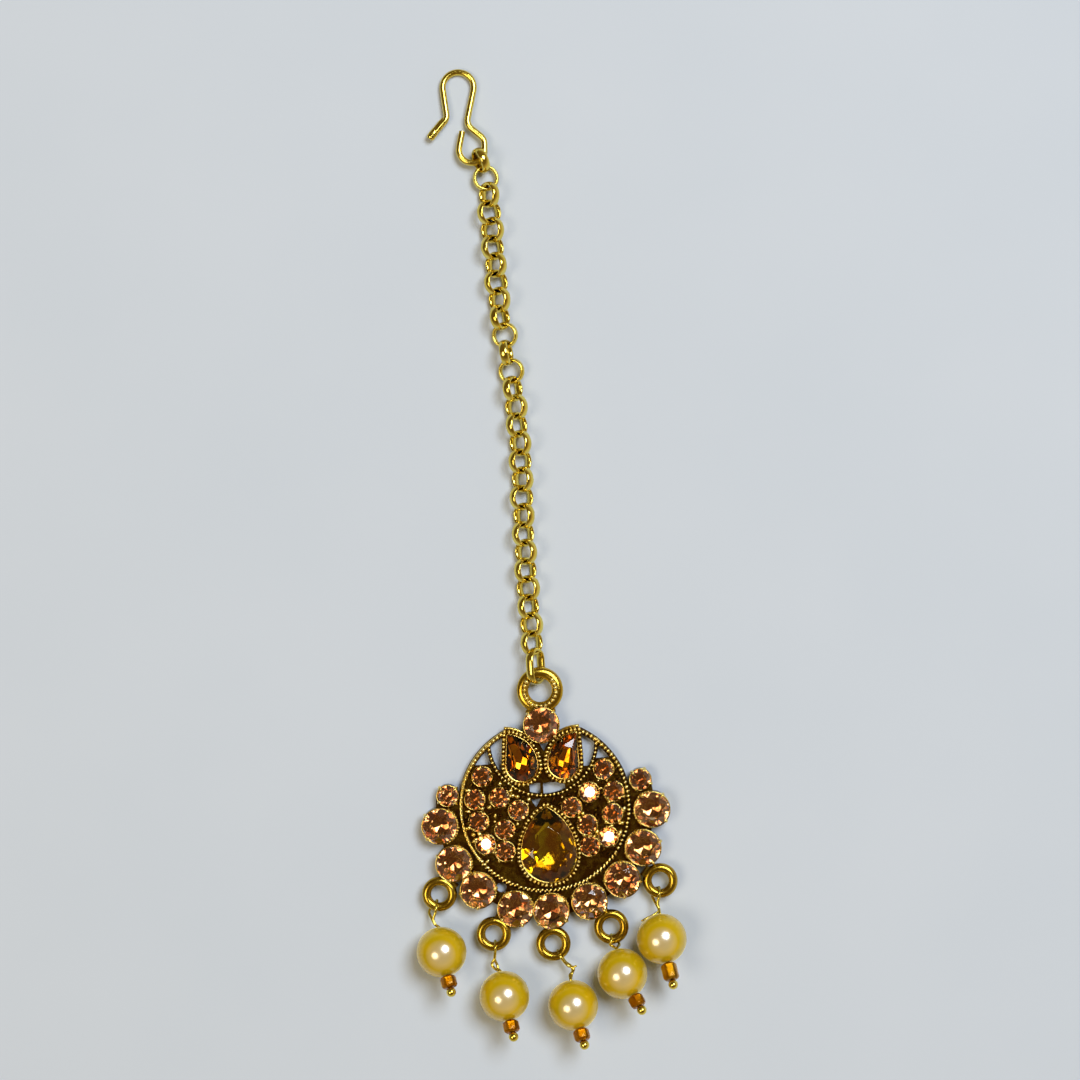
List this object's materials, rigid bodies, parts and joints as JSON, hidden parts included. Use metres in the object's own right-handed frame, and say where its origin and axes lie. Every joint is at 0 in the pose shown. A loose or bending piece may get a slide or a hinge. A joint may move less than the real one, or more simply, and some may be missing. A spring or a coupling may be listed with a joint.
{
  "type": "maang tikka",
  "caption": "Forehead ornament: a hair hook and a round-link chain carry a round openwork pendant set with faceted stones and fringed with pearl drops.",
  "frame": {"origin": "centre of the pendant's round frame, on the pendant's flat back face, which is also the surface that the ornament lies on", "axes": "+Y along the pendant's axis towards the ring, chain and hook; +Z out of the pendant's stone-set face; +X to the right seen from that face"},
  "size_m": [0.0323, 0.1179, 0.006],
  "materials": {
    "casting_gold": "antique gold plate, polished on the high points and dark brown in the recesses",
    "chain_gold": "polished antique gold plate",
    "wire_gold": "drawn wire, polished gold plate",
    "champagne_stone": "faceted, foil-backed pinkish champagne",
    "amber_stone": "faceted, foil-backed amber to olive",
    "pearl": "imitation pearl, golden cream lustre",
    "seed_glass": "transparent golden glass"
  },
  "bodies": {
    "root": {"chain": "chain_gold", "chain_link_hook": "chain_gold", "chain_link_pendant": "chain_gold", "drop_wire_1": "wire_gold", "drop_wire_2": "wire_gold", "drop_wire_3": "wire_gold", "drop_wire_4": "wire_gold", "drop_wire_5": "wire_gold", "hair_hook": "wire_gold", "pearl_1": "pearl", "pearl_2": "pearl", "pearl_3": "pearl", "pearl_4": "pearl", "pearl_5": "pearl", "pendant_casting": "casting_gold", "seed_bead_1": "seed_glass", "seed_bead_2": "seed_glass", "seed_bead_3": "seed_glass", "seed_bead_4": "seed_glass", "seed_bead_5": "seed_glass", "stone_border_1": "champagne_stone", "stone_border_2": "champagne_stone", "stone_border_3": "champagne_stone", "stone_border_4": "champagne_stone", "stone_border_5": "champagne_stone", "stone_border_6": "champagne_stone", "stone_border_7": "champagne_stone", "stone_border_8": "champagne_stone", "stone_border_9": "champagne_stone", "stone_inner_a_left": "champagne_stone", "stone_inner_a_right": "champagne_stone", "stone_inner_b_left": "champagne_stone", "stone_inner_b_right": "champagne_stone", "stone_inner_c_left": "champagne_stone", "stone_inner_c_right": "champagne_stone", "stone_inner_d_left": "champagne_stone", "stone_inner_d_right": "champagne_stone", "stone_inner_e_left": "champagne_stone", "stone_inner_e_right": "champagne_stone", "stone_inner_f_left": "champagne_stone", "stone_inner_f_right": "champagne_stone", "stone_inner_g_left": "champagne_stone", "stone_inner_g_right": "champagne_stone", "stone_inner_h_left": "champagne_stone", "stone_inner_h_right": "champagne_stone", "stone_pear_large": "amber_stone", "stone_pear_left": "amber_stone", "stone_pear_right": "amber_stone", "stone_side_left": "champagne_stone", "stone_side_right": "champagne_stone", "stone_top": "champagne_stone"}
  },
  "joints": []
}
